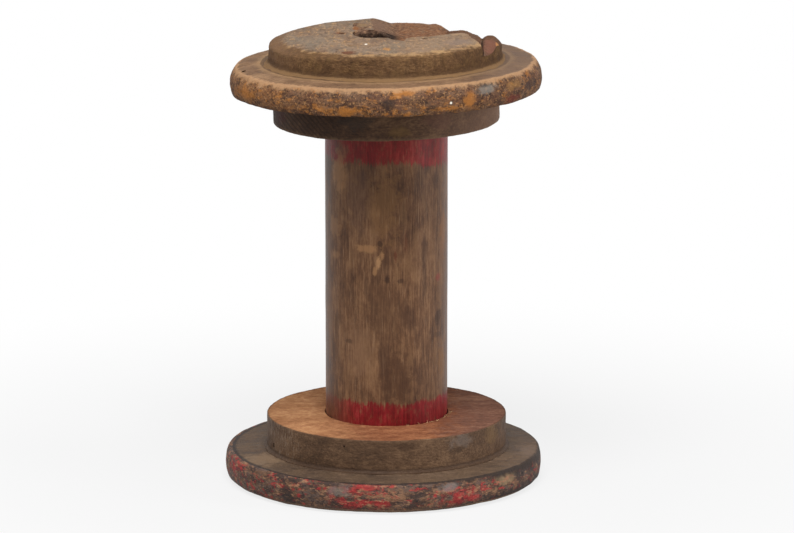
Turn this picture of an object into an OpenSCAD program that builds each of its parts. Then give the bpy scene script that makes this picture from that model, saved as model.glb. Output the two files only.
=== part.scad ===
// Large thread spool of turned wood, built up from a bored barrel and two glued, pegged and
// nailed heads. It stands on its lower head. Z runs up the spindle axis and z = 0 is the face
// that it stands on. The upper head has sat crooked since it was glued, and its hub disc has
// lost a long split of wood along the grain.

/* [Barrel] */
// Outside diameter of the barrel
barrel_d = 58.7; // [54:0.1:66]
// Length of barrel that shows between the two collars
winding_length = 142; // [100:1:200]
// Diameter of the tenon turned on each end of the barrel
tenon_d = 50; // [47:0.5:52]
// Diameter of the spindle bore through the whole spool
bore_d = 13.2; // [9:0.1:18]

/* [Lower head] */
// Diameter of the lower rim at its widest
lower_rim_d = 152.4; // [146:0.2:170]
// Thickness of the lower rim
lower_rim_t = 15.5; // [13:0.1:20]
// Radius of the curve of the lower rim's edge, seen in section
lower_rim_curve = 20; // [14:0.5:40]
// Radius worn on the corner that the spool stands on
foot_round = 3.5; // [1:0.1:5]
// Wood left under the end of the lower tenon
web_t = 5; // [3:0.1:7]
// Distance that the lower rim lies off the spindle axis, towards -X
lower_rim_shift = 1.5; // [0:0.1:3]
// Diameter of the lower collar
lower_collar_d = 115.2; // [110:0.2:124]
// Thickness of the lower collar
lower_collar_t = 16; // [13:0.1:20]

/* [Upper head] */
// Angle that the upper head leans, with its +X side up
head_lean = 1.1; // [0:0.1:1.8]
// Diameter of the upper rim at its widest
upper_rim_d = 148.8; // [142:0.2:166]
// Thickness of the upper rim
upper_rim_t = 14.5; // [13:0.1:20]
// Radius of the curve of the upper rim's edge, seen in section
upper_rim_curve = 12; // [10.5:0.5:40]
// Height above its underside at which the upper rim is widest
upper_rim_crown = 5.5; // [4:0.1:7]
// Diameter of the upper collar
upper_collar_d = 108; // [104:0.2:118]
// Thickness of the upper collar
upper_collar_t = 15; // [13:0.1:20]
// Diameter of the hub disc on top of the upper rim
hub_d = 111.4; // [108:0.2:118]
// Thickness of the hub disc
hub_t = 12; // [11:0.1:16]

/* [Edges] */
// Radius worn on the edges of the collars
collar_round = 0.8; // [0.3:0.1:1.5]
// Radius worn on the top edge of the hub disc
hub_round = 2.2; // [0.5:0.1:3.5]
// Radius of the cove at the foot of the hub disc
hub_cove_r = 3; // [1:0.1:4]
// Radius of the cove at the foot of the lower collar
collar_cove_r = 1.5; // [0.5:0.1:2.5]
// Thickness of the lip under each cove
cove_lip = 0.4; // [0.2:0.1:1]
// Fall of each rim's top face from the foot of the disc on it to its edge
rim_fall = 0.5; // [0.2:0.1:1.5]

/* [Break in the hub disc] */
// Depth of the main split below the top face
split_depth = 4; // [2:0.1:5]
// Depth of the top of the lower ledge at the +X end of the split
ledge_depth = 5.6; // [5.1:0.1:6.5]
// Depth of the groove across the +X end of that ledge
groove_depth = 8.2; // [7.5:0.1:8.8]
// Depth of the hole that is broken out round the mouth of the bore
crater_depth = 5; // [3:0.1:6]
// Depth of the shallow hollow behind that hole
hollow_depth = 0.8; // [0.3:0.1:1.5]
// Slope of the split's floor where it runs out at its -X end
run_out_angle = 20; // [10:1:35]
// Depth of the top of the knob that is left standing at the +X end
knob_depth = 1.5; // [0.8:0.1:3]
// Fall of the knob's top towards -Y, in degrees
knob_fall = 4.5; // [2:0.5:8]
// Fall of the scoop that is torn out of the knob, in degrees
scoop_fall = 8; // [5:0.5:12]
// Radius of that scoop
scoop_r = 4; // [2.5:0.1:6]

/* [Fixings] */
// Diameter of the wooden pegs
peg_d = 8; // [5:0.1:10]
// Distance of the pegs from the axis of their head
peg_circle_r = 42; // [40:0.5:45]
// Number of pegs in each head
peg_count = 4; // [3:1:6]
// Angle of the first peg about the axis
peg_angle = 15; // [0:1:60]
// Depth that a peg goes into the lower rim and into a collar
peg_depth = 9; // [6:0.5:11]
// Depth that a peg goes into the hub disc
hub_peg_depth = 4.5; // [3:0.1:4.8]
// Thickness of the nails' shanks
nail_d = 2.4; // [1.8:0.1:3]
// Diameter of the nails' heads
nail_head_d = 3.4; // [3.1:0.1:5]
// Thickness of the nails' heads
nail_head_t = 1.2; // [0.6:0.1:1.5]
// Length of the nails in the upper head
upper_nail_length = 52; // [36:1:64]
// Length of the nails in the lower head
lower_nail_length = 45; // [30:1:64]
// Distance of the nails from the spindle axis
nail_circle_r = 22; // [18:0.1:22.5]
// Angle of the first nail of each head about the axis
nail_angle = 158.5; // [150:0.5:170]
// Angle from the first nail to the second
nail_spread = 170.5; // [150:0.5:180]
// Depth that the nails' heads are punched below the surface
nail_sink = 1.5; // [0.8:0.1:2]

/* [Fits] */
// Gap round the barrel in the collars, and round each tenon
barrel_gap = 0.1; // [0.05:0.01:0.3]
// Gap round each peg
peg_gap = 0.05; // [0.02:0.01:0.2]
// Gap round each nail
nail_gap = 0.03; // [0.02:0.01:0.1]
// Gap left past the end of each tenon and peg
end_gap = 0.3; // [0.1:0.1:0.4]

/* [Hidden] */
$fn = 96;
over = 1;                                     // how far a cutting solid runs past what it cuts
reach = 2 * lower_rim_d;                      // larger than any disc

collar_floor_z = lower_rim_t;                 // the lower collar and the barrel's shoulder seat here
winding_floor_z = lower_rim_t + lower_collar_t;
head_z = winding_floor_z + winding_length;    // underside of the upper head, on the axis
rim_seat = upper_collar_t;                    // heights in the upper head's own leaning frame
hub_seat = upper_collar_t + upper_rim_t;
hub_top = hub_seat + hub_t;
bore_length = head_z + hub_top + reach / 10;  // past the leaning top face

lower_foot_r = lower_collar_d / 2 + collar_cove_r;   // where the coves run out on the rims
hub_foot_r = hub_d / 2 + hub_cove_r;

// Outline of the wood that split off the hub disc, in the hub disc's plane. It follows the grain
// along X, opens into the mouth of the bore, and runs out past the edge at +X and +Y.
past_edge = hub_d / 2 + 5;
split_outline = [
    [-15, past_edge], [-9, 14], [0, -5], [7.5, -16.5], [9.3, -16.2], [10.6, -7.5], [16, -5],
    [22, -4.7], [27, -2.6], [36, 3.4], [38, 1.4], [39.7, -5.5], [44.4, -27], [46.2, -36],
    [past_edge, -46], [past_edge, past_edge]
];
crater_outline = [
    [-15.4, 2], [-12, -4.1], [-4.8, -7], [0, -6.7], [4, -5.4], [7.5, 0], [5, 6], [-1, 10],
    [-5, 17], [-15, 18]
];
hollow_outline = [[-15.5, 17], [-15.5, 36], [-8, 37], [-7, 17]];

// Height of the split's floor along the grain, as [x, z] below the top face: the main floor, a
// crack, the ledge's rounded top, and the groove
groove_x = 46.3;
floor_line = [
    [-past_edge, -split_depth], [25, -split_depth], [27.3, -split_depth - 0.6],
    [31, -ledge_depth - 1.6], [33.5, -ledge_depth - 0.7], [37, -ledge_depth],
    [44.2, -ledge_depth - 1.2], [groove_x, -groove_depth], [49, -groove_depth + 0.8],
    [past_edge, -groove_depth + 1.2]
];
run_out_start = [-8.5, 52];                   // where the sloping floor meets the top face
run_out_turn = 3;                             // angle from that line to the Y axis
knob_back = 1.5;                              // y of the knob's broken back face
knob_section = [
    [groove_x, -groove_depth - over], [48, -knob_depth - 0.5], [50.5, -knob_depth],
    [past_edge, -knob_depth - 1.5], [past_edge, -groove_depth - over]
];
scoop_x = 50;

wood_barrel = [0.43, 0.32, 0.23];
wood_collar = [0.50, 0.36, 0.25];
wood_rim = [0.36, 0.27, 0.20];
wood_hub = [0.46, 0.37, 0.28];
wood_peg = [0.66, 0.50, 0.33];
iron_nail = [0.30, 0.22, 0.18];

// Places its children in the upper head's frame, which leans about the axis of the spool
module in_upper_head() {
    translate([0, 0, head_z]) rotate([0, -head_lean, 0]) children();
}

// Everything above z = 0, as wide as any part of the spool
module all_above() {
    translate([-reach / 2, -reach / 2, 0]) cube([reach, reach, reach]);
}

// Right half of the section of a disc, with its lower and upper outer corners rounded
module disc_section(r, t, low_round, high_round) {
    square([r - low_round, t / 2]);
    translate([0, low_round]) square([r, t - low_round - high_round]);
    translate([0, t / 2]) square([r - high_round, t / 2]);
    translate([r - low_round, low_round]) circle(low_round);
    translate([r - high_round, t - high_round]) circle(high_round);
}

// Section of a rim: its edge is an arc of radius curve, widest at height crown, and its top
// face falls by rim_fall from the foot of the disc that sits on it
module rim_section(r, t, curve, crown, low_round, foot_r) {
    difference() {
        intersection() {
            disc_section(r, t, low_round, collar_round);
            union() {
                square([r - curve, t]);
                translate([r - curve, crown]) circle(curve);
            }
        }
        polygon([[foot_r, t], [r, t - rim_fall], [r + over, t + over], [foot_r, t + over]]);
    }
}

// Section of a disc with a cove of radius cove that flares out at its foot
module coved_section(r, t, cove, high_round) {
    disc_section(r, t, cove_lip / 2, high_round);
    difference() {
        square([r + cove, cove_lip + cove]);
        translate([r + cove, cove_lip + cove]) circle(cove);
    }
}

// The spindle bore, through everything
module bore() {
    translate([0, 0, -over]) cylinder(d = bore_d, h = bore_length + over);
}

// Puts its children at each peg's place
module at_pegs() {
    for (i = [0 : peg_count - 1])
        rotate([0, 0, peg_angle + i * 360 / peg_count]) translate([peg_circle_r, 0, 0]) children();
}

// Puts its children at each nail's place
module at_nails() {
    for (angle = [nail_angle, nail_angle + nail_spread])
        rotate([0, 0, angle]) translate([nail_circle_r, 0, 0]) children();
}

// A peg with bevelled ends from z = low to z = high, with the given gap all round
module peg(low, high, gap) {
    bevel = gap > 0 ? 0 : peg_d / 10;
    translate([0, 0, low]) rotate_extrude()
        polygon([
            [0, 0], [peg_d / 2 + gap - bevel, 0], [peg_d / 2 + gap, bevel],
            [peg_d / 2 + gap, high - low - bevel], [peg_d / 2 + gap - bevel, high - low],
            [0, high - low]
        ]);
}

// A nail that hangs from its head, with the top of the head at z = 0
module nail(length) {
    point = 2 * nail_d;
    translate([0, 0, -nail_head_t]) cylinder(d = nail_head_d, h = nail_head_t);
    translate([0, 0, point - length]) cylinder(d = nail_d, h = length - point - nail_head_t);
    translate([0, 0, -length]) cylinder(d1 = nail_d / 3, d2 = nail_d, h = point);
}

// The hole that a nail leaves, open above its head
module nail_hole(length) {
    translate([0, 0, -nail_head_t]) cylinder(d = nail_head_d + 2 * nail_gap, h = reach / 10);
    translate([0, 0, -length]) cylinder(d = nail_d + 2 * nail_gap, h = length);
}

module upper_nail_places() {
    translate([0, 0, head_z + hub_top - nail_sink]) at_nails() children();
}

module lower_nail_places() {
    translate([0, 0, nail_sink]) mirror([0, 0, 1]) at_nails() children();
}

module barrel() color(wood_barrel) difference() {
    union() {
        difference() {
            translate([0, 0, collar_floor_z]) cylinder(d = barrel_d, h = bore_length);
            in_upper_head() translate([0, 0, rim_seat]) all_above();
        }
        difference() {
            translate([0, 0, web_t + end_gap]) cylinder(d = tenon_d, h = bore_length);
            in_upper_head() translate([0, 0, hub_seat - end_gap]) all_above();
        }
    }
    bore();
    upper_nail_places() nail_hole(upper_nail_length);
    lower_nail_places() nail_hole(lower_nail_length);
}

module lower_rim() color(wood_rim) difference() {
    translate([-lower_rim_shift, 0, 0]) rotate_extrude()
        rim_section(lower_rim_d / 2, lower_rim_t, lower_rim_curve, lower_rim_t / 2,
                    foot_round, lower_foot_r + lower_rim_shift);
    translate([0, 0, web_t]) cylinder(d = tenon_d + 2 * barrel_gap, h = lower_rim_t);
    bore();
    at_pegs() peg(lower_rim_t - peg_depth - end_gap, lower_rim_t + over, peg_gap);
    lower_nail_places() nail_hole(lower_nail_length);
}

module lower_collar() color(wood_collar) translate([0, 0, collar_floor_z]) difference() {
    rotate_extrude() coved_section(lower_collar_d / 2, lower_collar_t, collar_cove_r, collar_round);
    translate([0, 0, -over]) cylinder(d = barrel_d + 2 * barrel_gap, h = lower_collar_t + 2 * over);
    at_pegs() peg(-over, peg_depth + end_gap, peg_gap);
}

module lower_pegs() color(wood_peg) translate([0, 0, collar_floor_z])
    at_pegs() peg(-peg_depth, peg_depth, 0);

module lower_nails() color(iron_nail) lower_nail_places() nail(lower_nail_length);

module upper_collar() color(wood_collar) difference() {
    in_upper_head() difference() {
        rotate_extrude() disc_section(upper_collar_d / 2, upper_collar_t, collar_round, collar_round / 2);
        at_pegs() peg(rim_seat - peg_depth - end_gap, rim_seat + over, peg_gap);
    }
    cylinder(d = barrel_d + 2 * barrel_gap, h = bore_length);
}

module upper_rim() color(wood_rim) difference() {
    in_upper_head() translate([0, 0, rim_seat]) difference() {
        rotate_extrude() rim_section(upper_rim_d / 2, upper_rim_t, upper_rim_curve,
                                     upper_rim_crown, collar_round, hub_foot_r);
        at_pegs() peg(-over, upper_rim_t + over, peg_gap);
    }
    cylinder(d = tenon_d + 2 * barrel_gap, h = bore_length);
}

// Everything above the sloping floor where the split runs out, with z = 0 at the top face
module above_run_out() {
    translate([run_out_start[0], run_out_start[1], 0]) rotate([0, run_out_angle, run_out_turn])
        translate([0, -reach / 2, 0]) cube([reach, reach, reach]);
}

// Everything above the floor of the split
module above_floor() {
    rotate([90, 0, 0]) linear_extrude(reach, center = true)
        polygon(concat(floor_line, [[past_edge, hub_t], [-past_edge, hub_t]]));
}

// The knob of wood left at the +X end of the split. Its section slides down towards -Y, and
// a scoop is torn out along it.
module knob() difference() {
    translate([0, knob_back, 0]) rotate([90 + knob_fall, 0, 0])
        linear_extrude(past_edge) polygon(knob_section);
    translate([scoop_x, knob_back, scoop_r - knob_depth]) rotate([90 + scoop_fall, 0, 0])
        translate([0, 0, -over]) cylinder(r = scoop_r, h = past_edge);
}

// The wood that has split off the hub disc, with z = 0 at the disc's top face
module split_wood() {
    difference() {
        intersection() {
            linear_extrude(2 * hub_t, center = true) polygon(split_outline);
            above_run_out();
            above_floor();
        }
        knob();
    }
    translate([0, 0, -crater_depth]) linear_extrude(hub_t) polygon(crater_outline);
    translate([0, 0, -hollow_depth]) linear_extrude(hub_t) polygon(hollow_outline);
}

module hub_disc() color(wood_hub) difference() {
    in_upper_head() translate([0, 0, hub_seat]) difference() {
        rotate_extrude() coved_section(hub_d / 2, hub_t, hub_cove_r, hub_round);
        translate([0, 0, hub_t]) split_wood();
        at_pegs() peg(-over, hub_peg_depth + end_gap, peg_gap);
    }
    bore();
    upper_nail_places() nail_hole(upper_nail_length);
}

module upper_pegs() color(wood_peg) in_upper_head() translate([0, 0, rim_seat])
    at_pegs() peg(-peg_depth, upper_rim_t + hub_peg_depth, 0);

module upper_nails() color(iron_nail) upper_nail_places() nail(upper_nail_length);

barrel();
lower_rim();
lower_collar();
lower_pegs();
lower_nails();
upper_collar();
upper_rim();
hub_disc();
upper_pegs();
upper_nails();
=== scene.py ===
"""Looks for the old wooden thread spool: worn discs, the split hub disc, flaked red paint and a polished barrel."""

import math
import random

import bpy
import numpy as np
from mathutils import Euler, Matrix, Vector, noise


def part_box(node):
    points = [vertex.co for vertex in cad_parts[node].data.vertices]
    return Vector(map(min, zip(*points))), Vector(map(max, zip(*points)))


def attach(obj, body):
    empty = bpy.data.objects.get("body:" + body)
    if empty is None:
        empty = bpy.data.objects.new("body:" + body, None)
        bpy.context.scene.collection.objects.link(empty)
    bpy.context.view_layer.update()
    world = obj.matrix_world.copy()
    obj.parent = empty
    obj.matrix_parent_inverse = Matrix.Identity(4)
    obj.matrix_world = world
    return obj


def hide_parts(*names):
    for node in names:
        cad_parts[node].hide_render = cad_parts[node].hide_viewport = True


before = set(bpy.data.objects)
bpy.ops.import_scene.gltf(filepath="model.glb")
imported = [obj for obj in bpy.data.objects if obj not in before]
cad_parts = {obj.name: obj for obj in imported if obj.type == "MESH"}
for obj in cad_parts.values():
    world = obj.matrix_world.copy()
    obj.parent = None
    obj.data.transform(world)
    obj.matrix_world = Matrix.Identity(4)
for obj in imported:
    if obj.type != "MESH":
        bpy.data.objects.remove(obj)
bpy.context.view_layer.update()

# Sizes of the spool, in millimetres, as in the CAD. Those of upright pieces are read from the frame.
MM = 0.001


def size_of(node):
    """Radius, middle, bottom and top of an upright CAD node, in millimetres."""
    low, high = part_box(node)
    return (high.x - low.x) / 2 / MM, (high.x + low.x) / 2 / MM, low.z / MM, high.z / MM


barrel_r = size_of("barrel")[0]
lower_rim_r, lower_rim_x, _, lower_rim_top = size_of("lower_rim")
collar_foot_r, _, _, winding_floor = size_of("lower_collar")
collar_cove = 1.5
lower_collar_r = collar_foot_r - collar_cove
head_lean = math.radians(1.1)
winding_length = 142
head_z = winding_floor + winding_length
upper_collar_r, upper_collar_t = 54, 15
upper_rim_r, upper_rim_t = 74.4, 14.5
hub_r, hub_t, hub_cove = 55.7, 12, 3
rim_seat = upper_collar_t
hub_seat = rim_seat + upper_rim_t
hub_top = hub_seat + hub_t
bore_r = 6.6
tenon_r = 25
hidden_gap = 0.15                      # keeps faces that meet inside the joints apart
nail_circle_r, nail_head_r, nail_sink = 22, 1.7, 1.5
nail_angles = [math.radians(158.5), math.radians(329)]
nail_places = [(nail_circle_r * math.cos(a), nail_circle_r * math.sin(a)) for a in nail_angles]

# The upper head's own frame: it leans about the spool's axis, with its +X side up.
head_frame = Matrix.Translation((0, 0, head_z * MM)) @ Matrix.Rotation(-head_lean, 4, "Y")
upright = Matrix.Identity(4)

TURN_STEPS = 540
random.seed(7)


# Colours, given as they look on a screen from 0 to 255
def shade(red, green, blue):
    def linear(value):
        value /= 255
        return value / 12.92 if value <= 0.04045 else ((value + 0.055) / 1.055) ** 2.4
    return (linear(red), linear(green), linear(blue), 1)


# Selection and modifiers
def clear_selection():
    if bpy.context.object and bpy.context.object.mode != "OBJECT":
        bpy.ops.object.mode_set(mode="OBJECT")
    bpy.ops.object.select_all(action="DESELECT")


def pick(piece):
    clear_selection()
    bpy.context.view_layer.objects.active = piece
    piece.select_set(True)


def apply_modifier(piece, kind, **settings):
    pick(piece)
    modifier = piece.modifiers.new(kind.lower(), kind)
    for name, value in settings.items():
        setattr(modifier, name, value)
    bpy.ops.object.modifier_apply(modifier=modifier.name)


def drop(thing):
    clear_selection()
    bpy.data.objects.remove(thing)


def join(pieces):
    """Joins the pieces into the first of them."""
    pick(pieces[0])
    for piece in pieces[1:]:
        piece.select_set(True)
    bpy.ops.object.join()
    return bpy.context.object


# Outlines of turned work, as lists of (radius, height) in millimetres
def run(start, end, gap=0.9):
    """Points from start towards end, not counting end."""
    count = max(1, round(math.dist(start, end) / gap))
    return [(start[0] + (end[0] - start[0]) * i / count, start[1] + (end[1] - start[1]) * i / count)
            for i in range(count)]


def arc(centre, radius, start, end, gap=0.5):
    """Points on an arc between two angles in degrees, not counting its end."""
    count = max(3, round(abs(math.radians(end - start)) * radius / gap))
    turns = [math.radians(start + (end - start) * i / count) for i in range(count)]
    return [(centre[0] + radius * math.cos(a), centre[1] + radius * math.sin(a)) for a in turns]


def joined(seen, hidden=(), gap=0.8, hidden_gap_length=5):
    """One closed outline: the seen corners and arcs with close points, and then the hidden corners."""
    outline = []
    for here, after in zip(seen, seen[1:]):
        outline += run(here, after, gap)
    last = [seen[-1], *hidden, seen[0]]
    for here, after in zip(last, last[1:]):
        outline += run(here, after, hidden_gap_length)
    return outline


def turned(name, outline, middle=0, steps=TURN_STEPS):
    """A closed outline drawn edge by edge from one vertex, and turned round Z."""
    clear_selection()
    bpy.ops.mesh.primitive_plane_add(size=MM)
    piece = bpy.context.object
    piece.name = name
    bpy.ops.object.mode_set(mode="EDIT")
    bpy.ops.mesh.select_all(action="SELECT")
    bpy.ops.mesh.merge(type="CENTER")
    here = Vector((outline[0][0], 0, outline[0][1])) * MM
    bpy.ops.transform.translate(value=here)
    for r, z in outline[1:] + outline[:1]:
        there = Vector((r, 0, z)) * MM
        bpy.ops.mesh.extrude_region_move(TRANSFORM_OT_translate={"value": there - here})
        here = there
    bpy.ops.mesh.select_all(action="SELECT")
    bpy.ops.mesh.remove_doubles(threshold=0.01 * MM)
    bpy.ops.object.mode_set(mode="OBJECT")
    apply_modifier(piece, "SCREW", axis="Z", angle=math.tau, steps=steps, render_steps=steps,
                   use_merge_vertices=True, merge_threshold=0.001 * MM)
    bpy.ops.object.mode_set(mode="EDIT")
    bpy.ops.mesh.select_all(action="SELECT")
    bpy.ops.mesh.normals_make_consistent(inside=False)
    bpy.ops.transform.translate(value=(middle * MM, 0, 0))
    bpy.ops.object.mode_set(mode="OBJECT")
    return piece


def weather(piece, size, depth, stretch=(1, 1, 1), octaves=2):
    """Wears the surface inwards by up to depth, in dips of about size, in millimetres."""
    clear_selection()
    place = [random.uniform(-1, 1) for _ in range(3)]
    bpy.ops.object.empty_add(location=place)
    guide = bpy.context.object
    guide.scale = [size * MM * s for s in stretch]
    texture = bpy.data.textures.new("wear", "CLOUDS")
    texture.noise_scale = 1
    texture.noise_depth = octaves
    bpy.context.view_layer.update()
    apply_modifier(piece, "DISPLACE", texture=texture, texture_coords="OBJECT",
                   texture_coords_object=guide, strength=depth * MM, mid_level=0.85)
    drop(guide)
    bpy.data.textures.remove(texture)


def cut(piece, cutter):
    """Takes the cutter's shape out of the piece. The new faces keep the cutter's material."""
    for m in cutter.data.materials:
        if m and m.name not in piece.data.materials:
            piece.data.materials.append(m)
    apply_modifier(piece, "BOOLEAN", operation="DIFFERENCE", object=cutter, solver="EXACT",
                   material_mode="TRANSFER")
    drop(cutter)


def drill(place, direction, radius, depth, material):
    """A round cutter that goes depth into the surface at place."""
    way = Vector(direction).normalized()
    clear_selection()
    bpy.ops.mesh.primitive_cylinder_add(vertices=16, radius=radius * MM, depth=2 * depth * MM,
                                        location=Vector(place) * MM, rotation=way.to_track_quat("Z", "Y").to_euler())
    bpy.context.object.data.materials.append(material)
    return bpy.context.object


def chip(place, reach, material):
    """A lumpy cutter for a broken spot at place."""
    clear_selection()
    bpy.ops.mesh.primitive_ico_sphere_add(subdivisions=4, radius=MM, location=Vector(place) * MM, scale=reach)
    lump = bpy.context.object
    bpy.ops.object.transform_apply(location=True, rotation=True, scale=True)
    weather(lump, min(reach), min(reach) / 2)
    lump.data.materials.append(material)
    return lump


def fibre(start, end, width, material):
    """A torn fibre that thins out from start to end."""
    start, end = Vector(start) * MM, Vector(end) * MM
    clear_selection()
    bpy.ops.mesh.primitive_cone_add(vertices=6, radius1=width / 2 * MM, radius2=width / 8 * MM,
                                    depth=(end - start).length, location=(start + end) / 2,
                                    rotation=(end - start).to_track_quat("Z", "Y").to_euler())
    bpy.context.object.data.materials.append(material)
    return bpy.context.object


def wear_down(piece, fall):
    """Lowers the piece's top by fall(x, y) in millimetres, and what lies under it by less."""
    co = np.zeros(len(piece.data.vertices) * 3)
    piece.data.vertices.foreach_get("co", co)
    co = co.reshape(-1, 3)
    x, y, z = co.T / MM
    share = np.clip((z - z.min()) / (z.max() - z.min()), 0, 1) ** 2
    co[:, 2] -= fall(x, y) * share * MM
    piece.data.vertices.foreach_set("co", co.ravel())
    piece.data.update()


def place(piece, where):
    """Puts the piece's mesh in its place, so that its object stays at the origin."""
    piece.data.transform(where)
    piece.data.update()


def finish_piece(piece, node, angle=38):
    """Smooths the piece and lets it stand for its CAD node."""
    pick(piece)
    bpy.ops.object.shade_smooth_by_angle(angle=math.radians(angle))
    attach(piece, "root")
    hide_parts(node)


# Shader building: each call gives back the socket that the next one takes
class Recipe:
    def __init__(self, tree):
        self.tree = tree

    def add(self, kind, inputs=None, **settings):
        made = self.tree.nodes.new(kind)
        for name, value in settings.items():
            setattr(made, name, value)
        for name, value in (inputs or {}).items():
            self.feed(made.inputs[name], value)
        return made

    def feed(self, socket, value):
        if isinstance(value, bpy.types.NodeSocket):
            self.tree.links.new(value, socket)
        else:
            socket.default_value = value

    def maths(self, operation, a, b=0.0, clamp=False):
        return self.add("ShaderNodeMath", {0: a, 1: b}, operation=operation, use_clamp=clamp).outputs[0]

    def total(self, *parts):
        """Sum of (value, weight) pairs."""
        whole = 0.0
        for value, weight in parts:
            whole = self.maths("ADD", whole, self.maths("MULTIPLY", value, weight))
        return whole

    def both(self, a, b):
        return self.maths("MULTIPLY", a, b)

    def over(self, mask, below, above, share=1.0):
        """Colour above laid over colour below where the mask is 1, as thick as share."""
        mask = self.both(mask, share) if share != 1.0 else mask
        return self.add("ShaderNodeMix", {0: mask, 6: below, 7: above}, data_type="RGBA").outputs[2]

    def level(self, mask, low, high):
        """A number that goes from low to high as the mask goes from 0 to 1."""
        return self.add("ShaderNodeMapRange", {0: mask, 3: low, 4: high}).outputs[0]

    def step(self, value, start, end):
        """0 below start and 1 above end, smooth between, or the other way round if end is less."""
        return self.add("ShaderNodeMapRange", {0: value, 1: start, 2: end},
                        interpolation_type="SMOOTHSTEP").outputs[0]

    def stretched(self, position, stretch, shift=(0, 0, 0)):
        """Position divided by stretch, so that a pattern on it is that much longer each way."""
        return self.add("ShaderNodeMapping", {"Vector": position, "Location": shift,
                                              "Scale": [1 / s for s in stretch]}).outputs[0]

    def clouds(self, position, size, detail=3.0, rough=0.55, stretch=(1, 1, 1), shift=0.0):
        """Noise from 0 to 1, with lumps of about size, in millimetres."""
        where = self.stretched(position, [s * size * MM for s in stretch], (shift, shift, shift))
        return self.add("ShaderNodeTexNoise", {"Vector": where, "Scale": 1, "Detail": detail,
                                               "Roughness": rough}).outputs[0]

    def tone(self, position, size, detail=4.0, rough=0.62, stretch=(1, 1, 1), shift=0.0):
        """Clouds spread out, so that they reach both 0 and 1."""
        lumps = self.clouds(position, size, detail, rough, stretch, shift)
        return self.add("ShaderNodeMapRange", {0: lumps, 1: 0.3, 2: 0.7}).outputs[0]

    def group(self, tree, **inputs):
        made = self.add("ShaderNodeGroup", node_tree=tree)
        for name, value in inputs.items():
            self.feed(made.inputs[name], value)
        return made

    def ramp(self, value, *stops):
        """Colours at places from 0 to 1."""
        made = self.add("ShaderNodeValToRGB", {0: value})
        stretches = made.color_ramp.elements
        while len(stretches) < len(stops):
            stretches.new(0.5)
        for stretch, (where, colour) in zip(stretches, stops):
            stretch.position = where
            stretch.color = colour
        return made.outputs[0]


def shader_group(name, inputs, outputs):
    """A node group with named inputs and outputs, and its recipe, input and output nodes."""
    tree = bpy.data.node_groups.new(name, "ShaderNodeTree")
    kinds = {float: "NodeSocketFloat", tuple: "NodeSocketVector"}
    for label, value in inputs.items():
        socket = tree.interface.new_socket(label, in_out="INPUT", socket_type=kinds[type(value)])
        socket.default_value = value
    for label in outputs:
        tree.interface.new_socket(label, in_out="OUTPUT", socket_type="NodeSocketFloat")
    recipe = Recipe(tree)
    return tree, recipe, recipe.add("NodeGroupInput").outputs, recipe.add("NodeGroupOutput").inputs


def make_aged_wood():
    """Tone, from 0 for dark to 1 for light, of old wood whose grain runs along X, with its fibres and pores."""
    tree, mix, given, out = shader_group("aged wood", {"Position": (0.0, 0.0, 0.0), "Streaks": 0.3},
                                         ["Tone", "Fibres", "Pores"])
    place_ = given["Position"]
    broad = mix.tone(place_, 22, 3, 0.5, (2, 1, 1))
    close = mix.tone(place_, 4.5, 5, 0.65, (1.8, 1, 1), 3.1)
    grit = mix.tone(place_, 0.9, 3, 0.7, (2.2, 1, 1), 5.7)
    streaks = mix.tone(place_, 0.8, 4, 0.65, (16, 1, 1), 1.9)
    grain = mix.add("ShaderNodeMix", {0: given["Streaks"], 2: grit, 3: streaks}, data_type="FLOAT").outputs[0]
    mix.feed(out["Tone"], mix.total((broad, 0.25), (close, 0.3), (grain, 0.45)))
    mix.feed(out["Fibres"], grain)
    mix.feed(out["Pores"], mix.step(mix.clouds(place_, 0.5, 2, 0.6, (7, 1, 1)), 0.62, 0.74))
    return tree


def make_patches():
    """Ragged patches. Cover is the share of the surface that they take."""
    tree, mix, given, out = shader_group(
        "patches", {"Position": (0.0, 0.0, 0.0), "Size": 0.01, "Cover": 0.5, "Soft": 0.06, "Shift": 0.0},
        ["Patches"])
    shift = mix.add("ShaderNodeCombineXYZ", {0: given["Shift"], 1: given["Shift"], 2: given["Shift"]}).outputs[0]
    moved = mix.add("ShaderNodeVectorMath", {0: given["Position"], 1: shift}, operation="ADD").outputs[0]
    grow = mix.maths("DIVIDE", 1.0, given["Size"])
    lumps = mix.add("ShaderNodeTexNoise", {"Vector": moved, "Scale": grow, "Detail": 6, "Roughness": 0.7}).outputs[0]
    # Noise mostly lies between 0.3 and 0.7
    edge = mix.maths("SUBTRACT", 0.66, mix.maths("MULTIPLY", given["Cover"], 0.32))
    start = mix.maths("SUBTRACT", edge, given["Soft"])
    end = mix.maths("ADD", edge, given["Soft"])
    mix.feed(out["Patches"], mix.step(lumps, start, end))
    return tree


def make_smudge():
    """A soft patch at Centre that reaches as far as Reach along each axis. Rag is a noise that frays its edge."""
    tree, mix, given, out = shader_group(
        "smudge", {"Position": (0.0, 0.0, 0.0), "Centre": (0.0, 0.0, 0.0), "Reach": (0.01, 0.01, 0.01),
                   "Rag": 0.5}, ["Smudge"])
    away = mix.add("ShaderNodeVectorMath", {0: given["Position"], 1: given["Centre"]}, operation="SUBTRACT").outputs[0]
    away = mix.add("ShaderNodeVectorMath", {0: away, 1: given["Reach"]}, operation="DIVIDE").outputs[0]
    far = mix.add("ShaderNodeVectorMath", {0: away}, operation="LENGTH").outputs["Value"]
    far = mix.total((far, 1.0), (mix.maths("SUBTRACT", given["Rag"], 0.5), 1.0))
    mix.feed(out["Smudge"], mix.step(far, 1.15, 0.45))
    return tree


aged_wood = make_aged_wood()
patches = make_patches()
smudge = make_smudge()


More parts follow.
